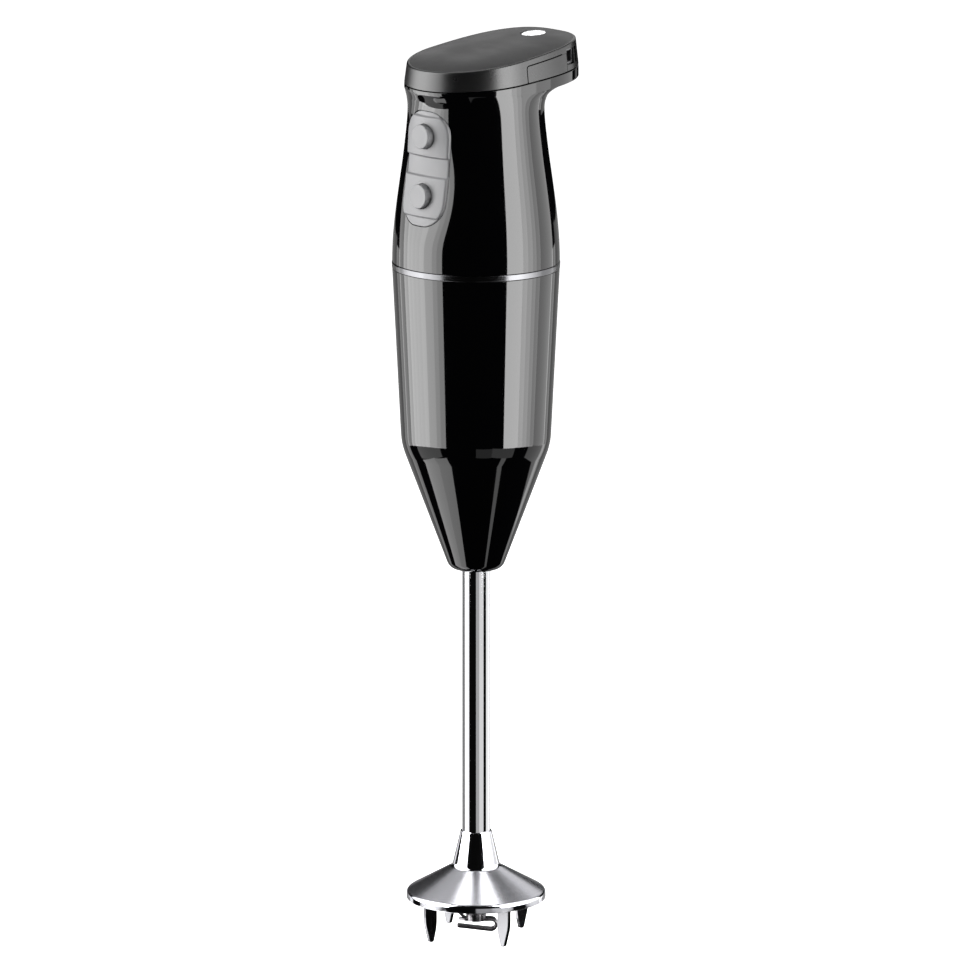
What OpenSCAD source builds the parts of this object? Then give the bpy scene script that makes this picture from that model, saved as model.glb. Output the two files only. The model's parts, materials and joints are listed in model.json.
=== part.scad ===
// Cordless immersion blender: a tapered motor body, a grip with a removable battery pack in it,
// and a long shaft that ends in a four-tined guard bell with a clip-on blade.
// Origin: centre of the guard rim's lower edge, on the shaft's axis. +Z runs up the shaft to the
// pack's head, -Y is the front (buttons), +Y is the side that the head overhangs.

/* [Guard bell] */
// Outer radius of the guard rim
rim_r = 30.2; // [26:0.1:34]
// Height of the guard rim's straight band
rim_h = 2.2; // [1.5:0.1:3]
// Radius of the cone's top, where the collar starts
collar_r = 10.1; // [9:0.1:12]
// Height of the cone's top above the rim's lower edge
cone_top_z = 14.3; // [13.5:0.1:16]
// Height of the collar's top
collar_top_z = 29.7; // [28:0.1:32]
// Length of a tine below the rim's lower edge
tine_drop = 17.3; // [12:0.1:20]
// Width of a tine where it leaves the bell
tine_w = 6.8; // [5:0.1:8]
// Thickness of a tine
tine_t = 1.8; // [1.2:0.1:2.4]

/* [Shaft] */
// Outer radius of the shaft tube
tube_r = 6.2; // [5.5:0.1:7]
// Wall thickness of the shaft tube
tube_wall = 1; // [0.8:0.1:1.4]
// Radius of the drive shaft inside the tube
drive_r = 2; // [1.6:0.1:2.4]
// Radial running clearance of shafts in their bushes and bearings
run_gap = 0.05; // [0.02:0.01:0.09]

/* [Motor body] */
// Height of the motor body's lower end
body_low_z = 145.7; // [144:0.1:148]
// Radius of the motor body's lower end
body_low_r = 12.8; // [12:0.1:14]
// Height of the corner between the taper and the upper cone
corner_z = 200.5; // [199:0.5:202]
// Radius at that corner
corner_r = 31.9; // [31:0.1:33]
// Height of the motor body's top, where the trim ring sits
belt_z = 277.5; // [277:0.5:278.5]
// Radius of the motor body's top
belt_r = 35.8; // [35:0.1:36.5]
// Height of the trim ring
ring_h = 2.6; // [2:0.1:3]
// Wall thickness of the two housings
wall = 2.2; // [2:0.1:2.4]

/* [Grip and head] */
// Radius of the grip's waist
waist_r = 28.9; // [28.5:0.1:29.5]
// Height of the grip's waist
waist_z = 345; // [344:0.5:346]
// Half width of the head
head_b = 28.8; // [28.5:0.1:30]
// Distance from the axis to the head's front
head_front = 32; // [31.5:0.5:33]
// Distance from the axis to the head's rear tip
head_rear = 48.5; // [47:0.5:50]
// Height of the seam between grip and head, on the axis
seam_z0 = 359.2; // [358.5:0.1:360]
// Rise of the seam per millimetre towards the rear
seam_rise = 0.065; // [0.05:0.005:0.08]
// Height of the head's top rim, on the axis
rim_z0 = 369.2; // [368.5:0.1:370]
// Rise of the head's top rim per millimetre towards the rear
rim_rise = 0.115; // [0.1:0.005:0.125]

/* [Buttons] */
// Height of the upper button
button_z_high = 337.5; // [336.5:0.5:338.5]
// Height of the lower button
button_z_low = 312; // [311:0.5:313]
// Radius of a button
button_r = 5.2; // [4.8:0.1:5.4]
// Travel of a button
button_travel = 1.2; // [0.8:0.1:1.2]
// Width of the button panel
panel_w = 25; // [24:0.5:27]
// Height of the button panel
panel_h = 49; // [48:0.5:50]
// Depth of the flat on the grip's front under the button panel
flat_depth = 2.6; // [2:0.1:2.8]

/* [Battery pack] */
// Radius of one battery cell
cell_r = 9; // [8.8:0.1:9.1]
// Length of one battery cell
cell_h = 65; // [64:0.5:65.5]
// Distance of the pack's axis behind the shaft's axis
pack_y = 3.4; // [3.2:0.1:3.6]
// Gap between the pack's stick and its bay
pack_gap = 0.4; // [0.35:0.05:0.5]
// Travel of a latch tab, in degrees
latch_travel = 5; // [3:0.5:5]

/* [Hidden] */
$fn = 64;

// Colours of the finishes
gloss_black = [0.03, 0.03, 0.035];
satin_black = [0.09, 0.09, 0.10];
satin_grey = [0.62, 0.62, 0.64];
steel = [0.75, 0.76, 0.78];
brass = [0.80, 0.62, 0.30];
copper = [0.72, 0.40, 0.22];
board_green = [0.05, 0.30, 0.16];
rubber_black = [0.12, 0.12, 0.12];

// A cut that has to pass right through a wall overshoots it by this much
over = 1;
steps = 12;
// Circles of the thin-walled grip
fine = 240;

// ---- Outlines ---------------------------------------------------------------------------

belt_top_z = belt_z + ring_h;

// Grip radius: a bulge that runs from the belt to the waist, between a sine and a smooth step
function grip_t(z) = max(0, min(1, (waist_z - z) / (waist_z - belt_top_z)));
function grip_r(z) = let (t = grip_t(z))
    waist_r + (belt_r - waist_r) * (sin(90 * t) + 3 * t * t - 2 * t * t * t) / 2;

// The grip's front is eased in under the button panel; a is the angle from the front
flat_mid_z = 316;
flat_half_h = 27;
function flat_in(a, z) = let (v = min(1, abs(z - flat_mid_z) / flat_half_h))
    flat_depth * pow(1 - v * v, 2) * pow(max(0, cos(a)), 8);
function skin_r(a, z) = grip_r(z) - flat_in(a, z);
function front_r(z) = skin_r(0, z);

function taper_r(z) = body_low_r
    + (corner_r - body_low_r) * (z - body_low_z - low_fillet) / (corner_z - body_low_z - low_fillet);
low_fillet = 4;

// Head outline in plan: an ellipse in front and a squarer superellipse behind, drawn in by inset
rear_power = 2.8;
function spow(v, p) = sign(v) * pow(abs(v), p);
function head_pt(a, inset) =
    let (p = cos(a) > 0 ? 2 : rear_power, l = cos(a) > 0 ? head_front : head_rear)
    [(head_b - inset) * spow(sin(a), 2 / p), -(l - inset) * spow(cos(a), 2 / p)];
head_n = 60;
head_angles = [for (i = [0:head_n - 1]) 360 * i / head_n];

// Height of the head's layers: 0 at the seam, 1 at the top rim
function layer_z(y, t) = (1 - t) * (seam_z0 + seam_rise * y) + t * (rim_z0 + rim_rise * y);
function head_ring(t, inset) = [for (a = head_angles)
    let (p = head_pt(a, inset)) [p[0], p[1], layer_z(p[1], t)]];

// Ring of the grip's surface at one height, moved outwards by offset
function skin_ring(z, offset) = [for (a = head_angles)
    let (r = skin_r(a, z) + offset) [r * sin(a), -r * cos(a), z]];

// Ring between the round waist and the head's outline: w is 0 at the waist and 1 at the head
function flare_ring(w, level) = [for (a = head_angles)
    let (h = head_pt(a, 0), c = [waist_r * sin(a), -waist_r * cos(a)], p = c + w * (h - c))
    [p[0], p[1], level * (layer_z(p[1], 0) - lip_h) + (1 - level) * waist_z]];
lip_h = 4.6;

// Closed solid through a stack of rings with equal point counts
module loft(rings) {
    n = len(rings[0]);
    m = len(rings);
    points = [for (r = rings) for (p = r) p];
    sides = [for (k = [0:m - 2]) for (i = [0:n - 1]) for (f = [0, 1])
        let (a = k * n + i, b = k * n + (i + 1) % n)
        f == 0 ? [a, a + n, b] : [b, a + n, b + n]];
    base = [for (i = [0:n - 1]) i];
    lid = [for (i = [n - 1:-1:0]) (m - 1) * n + i];
    polyhedron(points, concat(sides, [base, lid]), convexity = 6);
}

module ring(r_out, r_in, h) {
    difference() {
        cylinder(r = r_out, h = h);
        translate([0, 0, -over]) cylinder(r = r_in, h = h + 2 * over);
    }
}

module screw(shank_r, shank_l, head_r, head_h) {
    translate([0, 0, -shank_l]) cylinder(r = shank_r, h = shank_l);
    difference() {
        cylinder(r = head_r, h = head_h);
        for (a = [0, 90]) rotate([0, 0, a])
            translate([-head_r * 0.6, -head_r * 0.12, head_h * 0.5])
                cube([head_r * 1.2, head_r * 0.24, head_h]);
    }
}

module around(n, r, start = 0) {
    for (i = [0:n - 1]) rotate([0, 0, start + i * 360 / n]) translate([r, 0, 0]) children();
}

// ---- Guard bell and shaft ---------------------------------------------------------------

floor_z = 160;
tube_top_z = 169;
tine_mid_r = 22.6;
tine_offset = 5.1;
bell_wall = 1.4;
ceiling_z = cone_top_z - 2.7;
tube_low_z = ceiling_z + 5;
seal_r = 4.6;
bush_r = tube_r - tube_wall;

// One tine: a flat strip that narrows from its outer edge to a rounded point
module tine() {
    tip_r = 1.1;
    half = tine_w / 2;
    translate([tine_mid_r, -tine_offset + tine_t / 2, 0]) rotate([90, 0, 0])
        linear_extrude(tine_t) union() {
            polygon([[-half, 7], [-half, -9], [-half + 1.6, -tine_drop + 2.2],
                [-half + 2.3, -tine_drop + tip_r], [-half + 4.2, -tine_drop + tip_r],
                [half - 1.2, -11], [half, -6], [half, 4]]);
            translate([-half + 3.25, -tine_drop + tip_r]) circle(tip_r);
        }
}

module guard_bell() color(steel) difference() {
    union() {
        rotate_extrude() difference() {
            polygon([[0, 0], [rim_r, 0], [rim_r, rim_h], [rim_r - 0.5, rim_h + 0.8],
                [collar_r + 0.6, cone_top_z - 0.4], [collar_r, cone_top_z + 0.4],
                [tube_r + 0.75, collar_top_z - 0.3], [tube_r + 0.45, collar_top_z],
                [0, collar_top_z]]);
            polygon([[0, -1], [rim_r - bell_wall, -1], [rim_r - bell_wall, 1.2],
                [collar_r - 1.4, ceiling_z], [0, ceiling_z]]);
        }
        for (k = [0:3]) rotate([0, 0, 90 * k]) tine();
    }
    translate([0, 0, tube_low_z]) cylinder(r = tube_r, h = collar_top_z);
    cylinder(r = seal_r, h = collar_top_z);
}

module shaft_tube() color(steel)
    translate([0, 0, tube_low_z]) ring(tube_r, bush_r, tube_top_z - tube_low_z);

module lower_bush() color(brass)
    translate([0, 0, tube_low_z + 0.5]) ring(bush_r, drive_r + run_gap, 9);

module upper_bush() color(brass) {
    translate([0, 0, tube_top_z - 9]) ring(bush_r, drive_r + run_gap, 9);
    translate([0, 0, tube_top_z]) ring(tube_r, drive_r + run_gap, 1.2);
}

module shaft_seal() color(rubber_black) translate([0, 0, ceiling_z]) rotate_extrude() polygon([
    [drive_r + run_gap, 0], [seal_r, 0], [seal_r, 4.8], [drive_r + 1.2, 4.8],
    [drive_r + 1.2, 1.4], [drive_r + run_gap, 1]]);

flange_r = 13.4;
flange_screw_r = 11.2;

module tube_flange() color(steel) difference() {
    union() {
        translate([0, 0, floor_z]) ring(flange_r, tube_r, 3);
        translate([0, 0, floor_z]) ring(8.8, tube_r, 8.6);
    }
    around(3, flange_screw_r, 30) translate([0, 0, floor_z - over]) cylinder(r = 1.25, h = 6);
}

module flange_screws() color(steel)
    around(3, flange_screw_r, 30) translate([0, 0, floor_z + 3]) screw(1.2, 10, 2.1, 1.6);

// ---- Housings ---------------------------------------------------------------------------

// Posts inside the lower housing that carry the motor's mounting plate
post_mid_r = 26.5;
module plate_posts() intersection() {
    around(3, post_mid_r, 30) union() {
        translate([0, 0, 180]) cylinder(r = 3.2, h = plate_z - 180);
        translate([0, -1.2, 180]) cube([4.4, 2.4, plate_z - 180]);
    }
    rotate_extrude() polygon([[0, floor_z], [taper_r(floor_z) - 1, floor_z],
        [corner_r - 1, corner_z], [corner_r - 0.7, plate_z + 1], [0, plate_z + 1]]);
}

module lower_housing() color(gloss_black) difference() {
    union() {
        lower_shell();
        plate_posts();
    }
    translate([0, 0, body_low_z - over]) cylinder(r = tube_r + run_gap, h = 20);
    around(3, flange_screw_r, 30) translate([0, 0, floor_z - 7.5]) cylinder(r = 1.22, h = 9);
    around(3, post_mid_r, 30) translate([0, 0, plate_z - 7]) cylinder(r = 1.32, h = 9);
}

module lower_shell() rotate_extrude() difference() {
    union() {
        polygon([[0, body_low_z], [body_low_r - low_fillet, body_low_z],
            [body_low_r - low_fillet, body_low_z + low_fillet], [body_low_r, body_low_z + low_fillet],
            [corner_r, corner_z], [belt_r, belt_z], [0, belt_z]]);
        translate([body_low_r - low_fillet, body_low_z + low_fillet]) circle(low_fillet);
    }
    polygon([[0, floor_z], [taper_r(floor_z) - wall - 0.1, floor_z],
        [corner_r - wall, corner_z + 0.5], [belt_r - wall, belt_z - 6],
        [belt_r - wall, belt_z + 1], [0, belt_z + 1]]);
}

module trim_ring() color(satin_grey) rotate_extrude() {
    translate([belt_r - 2.6, belt_z]) square([2.75, ring_h]);
    translate([belt_r - 4, belt_z - 5]) square([1.7, ring_h + 10]);
}

// Plan of the button panel: a rectangle with large round corners, seen from the front
panel_corner = 10.5;
module panel_outline(grow) {
    r = panel_corner + grow;
    w = panel_w / 2 + grow;
    h = panel_h / 2 + grow;
    square([2 * w - 2 * r, 2 * h], center = true);
    square([2 * w, 2 * h - 2 * r], center = true);
    for (i = [-1, 1]) for (j = [-1, 1]) translate([i * (w - r), j * (h - r)]) circle(r);
}
panel_mid_z = 323.9;
module panel_prism(grow) translate([0, 0, panel_mid_z]) rotate([90, 0, 0])
    linear_extrude(60) panel_outline(grow);

// Heights that follow the grip's surface behind the panel
panel_zs = [for (i = [0:steps]) panel_mid_z + (i / steps - 0.5) * (panel_h + 6)];

// Local frame of a button: its +Z points into the grip, square to the sloping surface
button_slope = 4;
module at_button(z) translate([0, -front_r(z), z]) rotate([-(90 + button_slope), 0, 0]) children();
panel_back = 1.2;
flange_hole_r = 7.8;

bay_ledge_z = 346;
bay_flange_z = 352;
bay_flange_t = 2;
stick_r = cell_r * (1 + 2 / sqrt(3)) + 1.4;
bay_in_r = stick_r + pack_gap;
bay_out_r = bay_in_r + 1.2;
bay_flange_r = bay_out_r + 3;

grip_zs = [for (i = [0:steps]) belt_top_z + i * (waist_z - belt_top_z) / steps];
module upper_housing() color(gloss_black) difference() {
    loft(concat([for (z = grip_zs) skin_ring(z, 0)],
        [for (i = [1:8]) let (s = i / 8) flare_ring(pow(s, 3), 1 - pow(1 - s, 1.5))],
        [head_ring(0, 0)]));
    // room for the trim ring's lip, then the hollow of the grip up to the bay's ledge
    translate([0, 0, belt_top_z - over]) cylinder(r = belt_r - wall, h = 6, $fn = fine);
    loft(concat([skin_ring(belt_top_z - over, -wall - 0.1)],
        [for (i = [1:steps - 1]) skin_ring(grip_zs[i], -wall - 0.1)],
        [skin_ring(bay_ledge_z, -wall - 0.1)]));
    translate([0, pack_y, bay_ledge_z - over]) cylinder(r = bay_out_r + 0.2, h = 20, $fn = fine);
    translate([0, pack_y, bay_flange_z]) cylinder(r = bay_flange_r + 0.3, h = 20, $fn = fine);
    translate([0, pack_y, 0]) around(4, bay_out_r + 1.6, 45)
        translate([0, 0, bay_ledge_z - over]) cylinder(r = 0.92, h = 8);
    // pocket of the button panel and the two holes behind it
    difference() {
        panel_prism(0.15);
        loft([for (z = panel_zs) skin_ring(z, -panel_back - 0.1)]);
    }
    for (z = [button_z_low, button_z_high]) at_button(z)
        rotate([0, 0, 22.5]) cylinder(r = flange_hole_r, h = 6, $fn = 8);
    // pockets for the latch hooks, open to the seam
    for (s = [0, 1]) mirror([s, 0, 0])
        translate([hook_x - hook_swing - 2 * hook_gap, hook_y - hook_gap, hook_low_z - hook_gap])
            cube([hook_t + hook_swing + 3 * hook_gap, hook_w + 2 * hook_gap, 12]);
}

// Raised pads of the panel: full height between their ramps
pad_half = 8;
pad_ramp = 1.2;
pad_rise = 1;
function pad_lift(z) = let (d = min(abs(z - button_z_high), abs(z - button_z_low)))
    pad_rise * max(0, min(1, (pad_half + pad_ramp - d) / pad_ramp));
pad_edges = [for (b = [button_z_low, button_z_high])
    for (d = [-pad_half - pad_ramp, -pad_half, 0, pad_half, pad_half + pad_ramp]) b + d];
panel_profile_zs = concat([panel_mid_z - panel_h / 2 - 1], pad_edges, [panel_mid_z + panel_h / 2 + 1]);

module button_panel() color(satin_grey) difference() {
    intersection() {
        panel_prism(0);
        loft([for (z = panel_profile_zs) skin_ring(z, 0.25 + pad_lift(z))]);
    }
    loft([for (z = panel_zs) skin_ring(z, -panel_back)]);
    for (z = [button_z_low, button_z_high]) at_button(z)
        translate([0, 0, -6]) cylinder(r = button_r + 0.3, h = 12);
}

button_face = 3.9;
keeper_r = button_r + 1.3;
keeper_front = 2.3;
keeper_back = 3.1;
stem_end = 3.6;
switch_front = 5;
switch_back = 8.2;
plunger_end = 6.4;

// Depth of a button's origin along the buttons' common axis, and the plane of the switch board
function along_axis(z) = -front_r(z) * cos(button_slope) - z * sin(button_slope);
board_plane = switch_back + max(along_axis(button_z_high), along_axis(button_z_low));

// A button with its keeper flange, its stem and the switch plunger that it pushes
module button(z) color(satin_grey) at_button(z) {
    rotate_extrude() polygon([[0, -button_face], [button_r - 0.6, -button_face],
        [button_r - 0.15, -button_face + 0.2], [button_r, -button_face + 0.7],
        [button_r, keeper_front], [keeper_r, keeper_front], [keeper_r, keeper_back],
        [2, keeper_back], [2, stem_end], [1.3, stem_end], [1.3, plunger_end], [0, plunger_end]]);
}
module button_upper() button(button_z_high);
module button_lower() button(button_z_low);

module tact_switches() color(rubber_black)
    for (z = [button_z_low, button_z_high]) at_button(z) difference() {
        translate([-3.2, -3.2, switch_front])
            cube([6.4, 6.4, board_plane - along_axis(z) - switch_front]);
        translate([0, 0, switch_front - over])
            cylinder(r = 1.4, h = plunger_end + button_travel + 0.2 - switch_front + over);
    }

// The board lies in the plane that both switches stand on
board_mid_z = (button_z_high + button_z_low) / 2;
module switch_board() color(board_green) at_button(board_mid_z)
    translate([-8, -18, board_plane - along_axis(board_mid_z) + 0.02]) cube([16, 36, 1.2]);

// ---- Battery bay ------------------------------------------------------------------------

bay_floor_z = 284;
bay_top_z = bay_flange_z + bay_flange_t;
bay_floor_t = 1.6;
contact_xs = [-6, -2, 2, 6];

module battery_bay() color(satin_black) translate([0, pack_y, 0]) difference() {
    union() {
        translate([0, 0, bay_floor_z]) ring(bay_out_r, bay_in_r, bay_top_z - bay_floor_z);
        translate([0, 0, bay_floor_z]) cylinder(r = bay_out_r, h = bay_floor_t);
        translate([0, 0, bay_flange_z]) ring(bay_flange_r, bay_in_r, bay_flange_t);
    }
    for (x = contact_xs) translate([x - 0.75, -2.1, bay_floor_z - over]) cube([1.5, 4.2, 5]);
    around(4, bay_out_r + 1.6, 45) translate([0, 0, bay_flange_z - over]) cylinder(r = 1, h = 5);
}

module bay_screws() color(steel) translate([0, pack_y, bay_top_z])
    around(4, bay_out_r + 1.6, 45) screw(0.9, 7, 1.35, 1);

// Blades that stand up through the bay's floor and end just under the pack's terminals
module bay_contacts() color(brass) translate([0, pack_y, bay_floor_z - 3])
    for (x = contact_xs) translate([x - 0.5, -1.8, 0]) cube([1, 3.6, 5.6]);

module head_seal() color(rubber_black) translate([0, pack_y, bay_top_z])
    ring(bay_in_r + 0.9, bay_in_r - 0.05, 1.4);

// ---- Motor ------------------------------------------------------------------------------

can_low_z = 208;
can_top_z = 262;
can_r = 18.5;
can_wall = 1.2;
shaft_r = 2.45;
bearing_r = 5;
bearing_h = 4;
plate_z = 205.5;
plate_t = 2.5;
motor_screw_r = 12.5;

module motor_mount_plate() color(steel) difference() {
    translate([0, 0, plate_z]) cylinder(r = 29.8, h = plate_t);
    translate([0, 0, plate_z - over]) cylinder(r = 8, h = 6);
    around(2, motor_screw_r, 90) translate([0, 0, plate_z - over]) cylinder(r = 1.6, h = 6);
    around(3, post_mid_r, 30) translate([0, 0, plate_z - over]) cylinder(r = 1.4, h = 6);
    around(6, 22, 0) translate([0, 0, plate_z - over]) cylinder(r = 2.6, h = 6);
}

// Self-tapping screws that hold the plate to the three posts under it
module plate_screws() color(steel)
    around(3, post_mid_r, 30) translate([0, 0, plate_z + plate_t]) screw(1.3, 9, 2.2, 1.5);

module motor_screws() color(steel) around(2, motor_screw_r, 90)
    translate([0, 0, plate_z]) mirror([0, 0, 1]) screw(1.5, 4.2, 2.6, 1.6);

module motor_can() color(steel) difference() {
    translate([0, 0, can_low_z]) union() {
        difference() {
            cylinder(r = can_r, h = can_top_z - can_low_z);
            translate([0, 0, 1.8]) cylinder(r = can_r - can_wall, h = 60);
        }
        cylinder(r = bearing_r + 1.5, h = bearing_h + 0.5);
    }
    translate([0, 0, can_low_z]) cylinder(r = bearing_r, h = bearing_h + 1);
    around(2, motor_screw_r, 90) translate([0, 0, can_low_z - over]) cylinder(r = 1.52, h = 4);
    around(8, can_r, 22.5) translate([0, 0, can_low_z + 5]) rotate([0, 90, 0])
        translate([0, 0, -3]) cylinder(r = 2, h = 6);
}

module lower_bearing() color(steel)
    translate([0, 0, can_low_z]) ring(bearing_r, shaft_r + run_gap, bearing_h);
module upper_bearing() color(steel)
    translate([0, 0, can_top_z + 1.6]) ring(bearing_r, shaft_r + run_gap, bearing_h);

module motor_magnets() color([0.2, 0.2, 0.22]) for (s = [0, 180]) rotate([0, 0, s + 15])
    translate([0, 0, 218]) rotate_extrude(angle = 150) translate([15, 0]) square([2.3, 34]);

module motor_end_bell() color(satin_black) difference() {
    union() {
        translate([0, 0, can_top_z + 1.2]) cylinder(r = can_r, h = 1.8);
        translate([0, 0, can_top_z + 1.2]) cylinder(r = bearing_r + 2, h = bearing_h + 0.8);
    }
    translate([0, 0, can_top_z + 1.6]) cylinder(r = bearing_r, h = bearing_h + 2);
    cylinder(r = 3.2, h = can_top_z + 3);
    for (x = [-13, 13]) translate([x, 0, can_top_z]) cylinder(r = 1.6, h = 5);
}

module brush_card() color([0.45, 0.3, 0.12])
    translate([0, 0, can_top_z]) ring(can_r, 6.2, 1.2);

brush_low_z = 256;
comm_r = 4.6;
module both_sides() for (s = [0, 180]) rotate([0, 0, s]) children();

module brush_holders() color(brass) both_sides() difference() {
    translate([5.6, -2.8, brush_low_z - 0.8]) cube([10.6, 5.6, can_top_z - brush_low_z + 0.8]);
    translate([5, -2, brush_low_z]) cube([10.2, 4, 5]);
}
module carbon_brushes() color([0.15, 0.15, 0.15]) both_sides()
    translate([comm_r + 0.25, -2, brush_low_z]) cube([6.5, 4, 5]);
module brush_springs() color(steel) both_sides()
    for (i = [0:4]) translate([11.7 + i * 0.7, 0, brush_low_z + 2.5]) rotate([0, 90, 0])
        rotate_extrude() translate([1.5, 0]) circle(0.35, $fn = 24);

// ---- Rotor and drive line ---------------------------------------------------------------

core_low_z = 222;
core_h = 26;
slot_n = 8;
slot_mid_r = 11.4;
slot_r = 2.2;

module motor_shaft() color(steel)
    translate([0, 0, 184]) cylinder(r = shaft_r, h = 84.5);

module rotor_core() color([0.5, 0.5, 0.52]) translate([0, 0, core_low_z]) difference() {
    cylinder(r = 14.4, h = core_h);
    translate([0, 0, -over]) cylinder(r = shaft_r, h = core_h + 2 * over);
    around(slot_n, slot_mid_r) translate([0, 0, -over]) union() {
        cylinder(r = slot_r, h = core_h + 2 * over);
        translate([0, -0.7, 0]) cube([4, 1.4, core_h + 2 * over]);
    }
}

module rotor_windings() color(copper) {
    around(slot_n, slot_mid_r) translate([0, 0, core_low_z]) cylinder(r = slot_r - 0.1, h = core_h);
    for (z = [core_low_z - 5, core_low_z + core_h]) translate([0, 0, z])
        rotate_extrude() polygon([[4.5, 0.8], [6, 0], [12.4, 0], [13.4, 1], [13.4, 4], [12.4, 5],
            [6, 5], [4.5, 4.2]]);
}

module commutator() color(copper) translate([0, 0, 253.2]) difference() {
    union() {
        cylinder(r = 6, h = 1.8);
        cylinder(r = comm_r, h = 8.4);
    }
    translate([0, 0, -over]) cylinder(r = shaft_r, h = 12);
    around(slot_n, comm_r) translate([-0.5, -0.15, 1.8]) cube([2, 0.3, 8]);
}

module cooling_fan() color(satin_black) translate([0, 0, 195]) difference() {
    union() {
        cylinder(r = 4.5, h = 7);
        translate([0, 0, 5.8]) cylinder(r = 17, h = 1.2);
        for (i = [0:10]) rotate([0, 0, i * 360 / 11]) translate([3.5, -0.5, 0])
            cube([13, 1, 6.4]);
    }
    translate([0, 0, -over]) cylinder(r = shaft_r, h = 10);
}

jaw_r = 7.5;
jaw_core_r = 3.4;
hub_step = 0.2;
module jaws(start) for (i = [0:2]) rotate([0, 0, start + i * 120 - 22])
    rotate_extrude(angle = 44) translate([jaw_core_r, 0])
        square([jaw_r - hub_step - jaw_core_r, 5.9]);

module motor_coupling() color(steel) difference() {
    union() {
        translate([0, 0, 185]) cylinder(r = jaw_r, h = 8);
        translate([0, 0, 179.6]) jaws(0);
    }
    translate([0, 0, 184]) cylinder(r = shaft_r, h = 12);
}
module shaft_coupling() color(steel) difference() {
    union() {
        translate([0, 0, 171.5]) cylinder(r = jaw_r, h = 7.8);
        translate([0, 0, 178.8]) jaws(60);
    }
    translate([0, 0, 170]) cylinder(r = drive_r, h = 9.6);
}
module coupling_spider() color([0.65, 0.12, 0.1]) translate([0, 0, 179.6]) {
    cylinder(r = 3.2, h = 4.4);
    for (i = [0:5]) rotate([0, 0, 30 + i * 60 - 6.5])
        rotate_extrude(angle = 13) translate([2.8, 0]) square([4.4, 4.4]);
}

shaft_low_z = -8.2;
pin_z = -3.2;
pin_r = 0.6;
module drive_shaft() color(steel) difference() {
    translate([0, 0, shaft_low_z]) union() {
        cylinder(r1 = drive_r - 0.4, r2 = drive_r, h = 0.8);
        translate([0, 0, 0.8]) cylinder(r = drive_r, h = 178.6 - shaft_low_z - 0.8);
    }
    translate([-5, 0, pin_z]) rotate([0, 90, 0]) cylinder(r = pin_r, h = 10);
}
module drive_pin() color(steel)
    translate([-3.1, 0, pin_z]) rotate([0, 90, 0]) cylinder(r = pin_r, h = 6.2);

// ---- Blade ------------------------------------------------------------------------------

// The blade is at rest along this direction, measured from +X
blade_angle = 46;
hub_low_z = -9.4;
hub_r = 4.35;
blade_w = 5.6;
blade_t = 1.15;
clip_z = -6.4;

module tool_hub() color(steel) difference() {
    rotate_extrude() polygon([[0, hub_low_z], [hub_r, hub_low_z], [hub_r, -7.6], [hub_r - 0.4, -7.3],
        [hub_r - 0.4, -6.6], [hub_r, -6.3], [hub_r, -4.6], [hub_r - 0.6, -4], [hub_r - 0.6, -1.6],
        [0, -1.6]]);
    translate([0, 0, shaft_low_z - 0.3]) cylinder(r = drive_r + run_gap, h = 12);
    translate([0, 0, clip_z - 0.45]) cylinder(r = drive_r + 0.75, h = 0.9);
    translate([-6, -pin_r - 0.15, pin_z - pin_r - 0.15]) cube([12, 2 * pin_r + 0.3, 6]);
}
module hub_clip() color(steel) translate([0, 0, clip_z]) rotate([0, 0, 50])
    rotate_extrude(angle = 300) translate([drive_r + 0.4, 0]) circle(0.3, $fn = 24);

// A straight bar between two points of the blade's side view, with round ends
module bar(p, q) {
    d = q - p;
    translate(p) rotate(atan2(d[1], d[0])) translate([0, -blade_t / 2]) square([norm(d), blade_t]);
    for (c = [p, q]) translate(c) circle(blade_t / 2);
}

loop_mid = [6.4, -12.3];
loop_r = 2.35;
wing_x = 5;
wing_bend = 44;
module tool_blade() color(steel) rotate([0, 0, blade_angle]) {
    // disc under the hub
    translate([0, 0, hub_low_z - blade_t]) cylinder(r = hub_r, h = blade_t);
    // right arm: out, round the loop and back under the hub
    translate([0, blade_w / 2, 0]) rotate([90, 0, 0]) linear_extrude(blade_w) {
        bar([2, hub_low_z - blade_t / 2], loop_mid + [0, loop_r]);
        intersection() {
            translate(loop_mid) difference() {
                circle(loop_r + blade_t / 2);
                circle(loop_r - blade_t / 2);
            }
            translate(loop_mid + [0, -loop_r - 1]) square([loop_r + 2, 2 * loop_r + 2]);
        }
        bar(loop_mid + [0, -loop_r], [-7.8, -13]);
    }
    // left tip, level and pointed, and the root of the wing beside it
    translate([0, 0, hub_low_z - blade_t]) linear_extrude(blade_t)
        polygon([[-2, -2.8], [-4.6, -2.6], [-7.6, -0.4], [-7.6, 0.4], [-wing_x - 0.3, 0.9],
            [-wing_x - 0.3, 3], [-2, 3.4]]);
    // left wing, bent up clear of the hub
    translate([-wing_x, 0, hub_low_z - blade_t / 2]) rotate([0, wing_bend, 0]) mirror([1, 0, 0])
        translate([0, 0, -blade_t / 2]) linear_extrude(blade_t)
            polygon([[0, 0.9], [3.4, 1.1], [5.2, 1.9], [5.8, 2.6], [5.6, 3.1], [0, 3.2]]);
}

// ---- Battery pack and its head ----------------------------------------------------------

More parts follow.
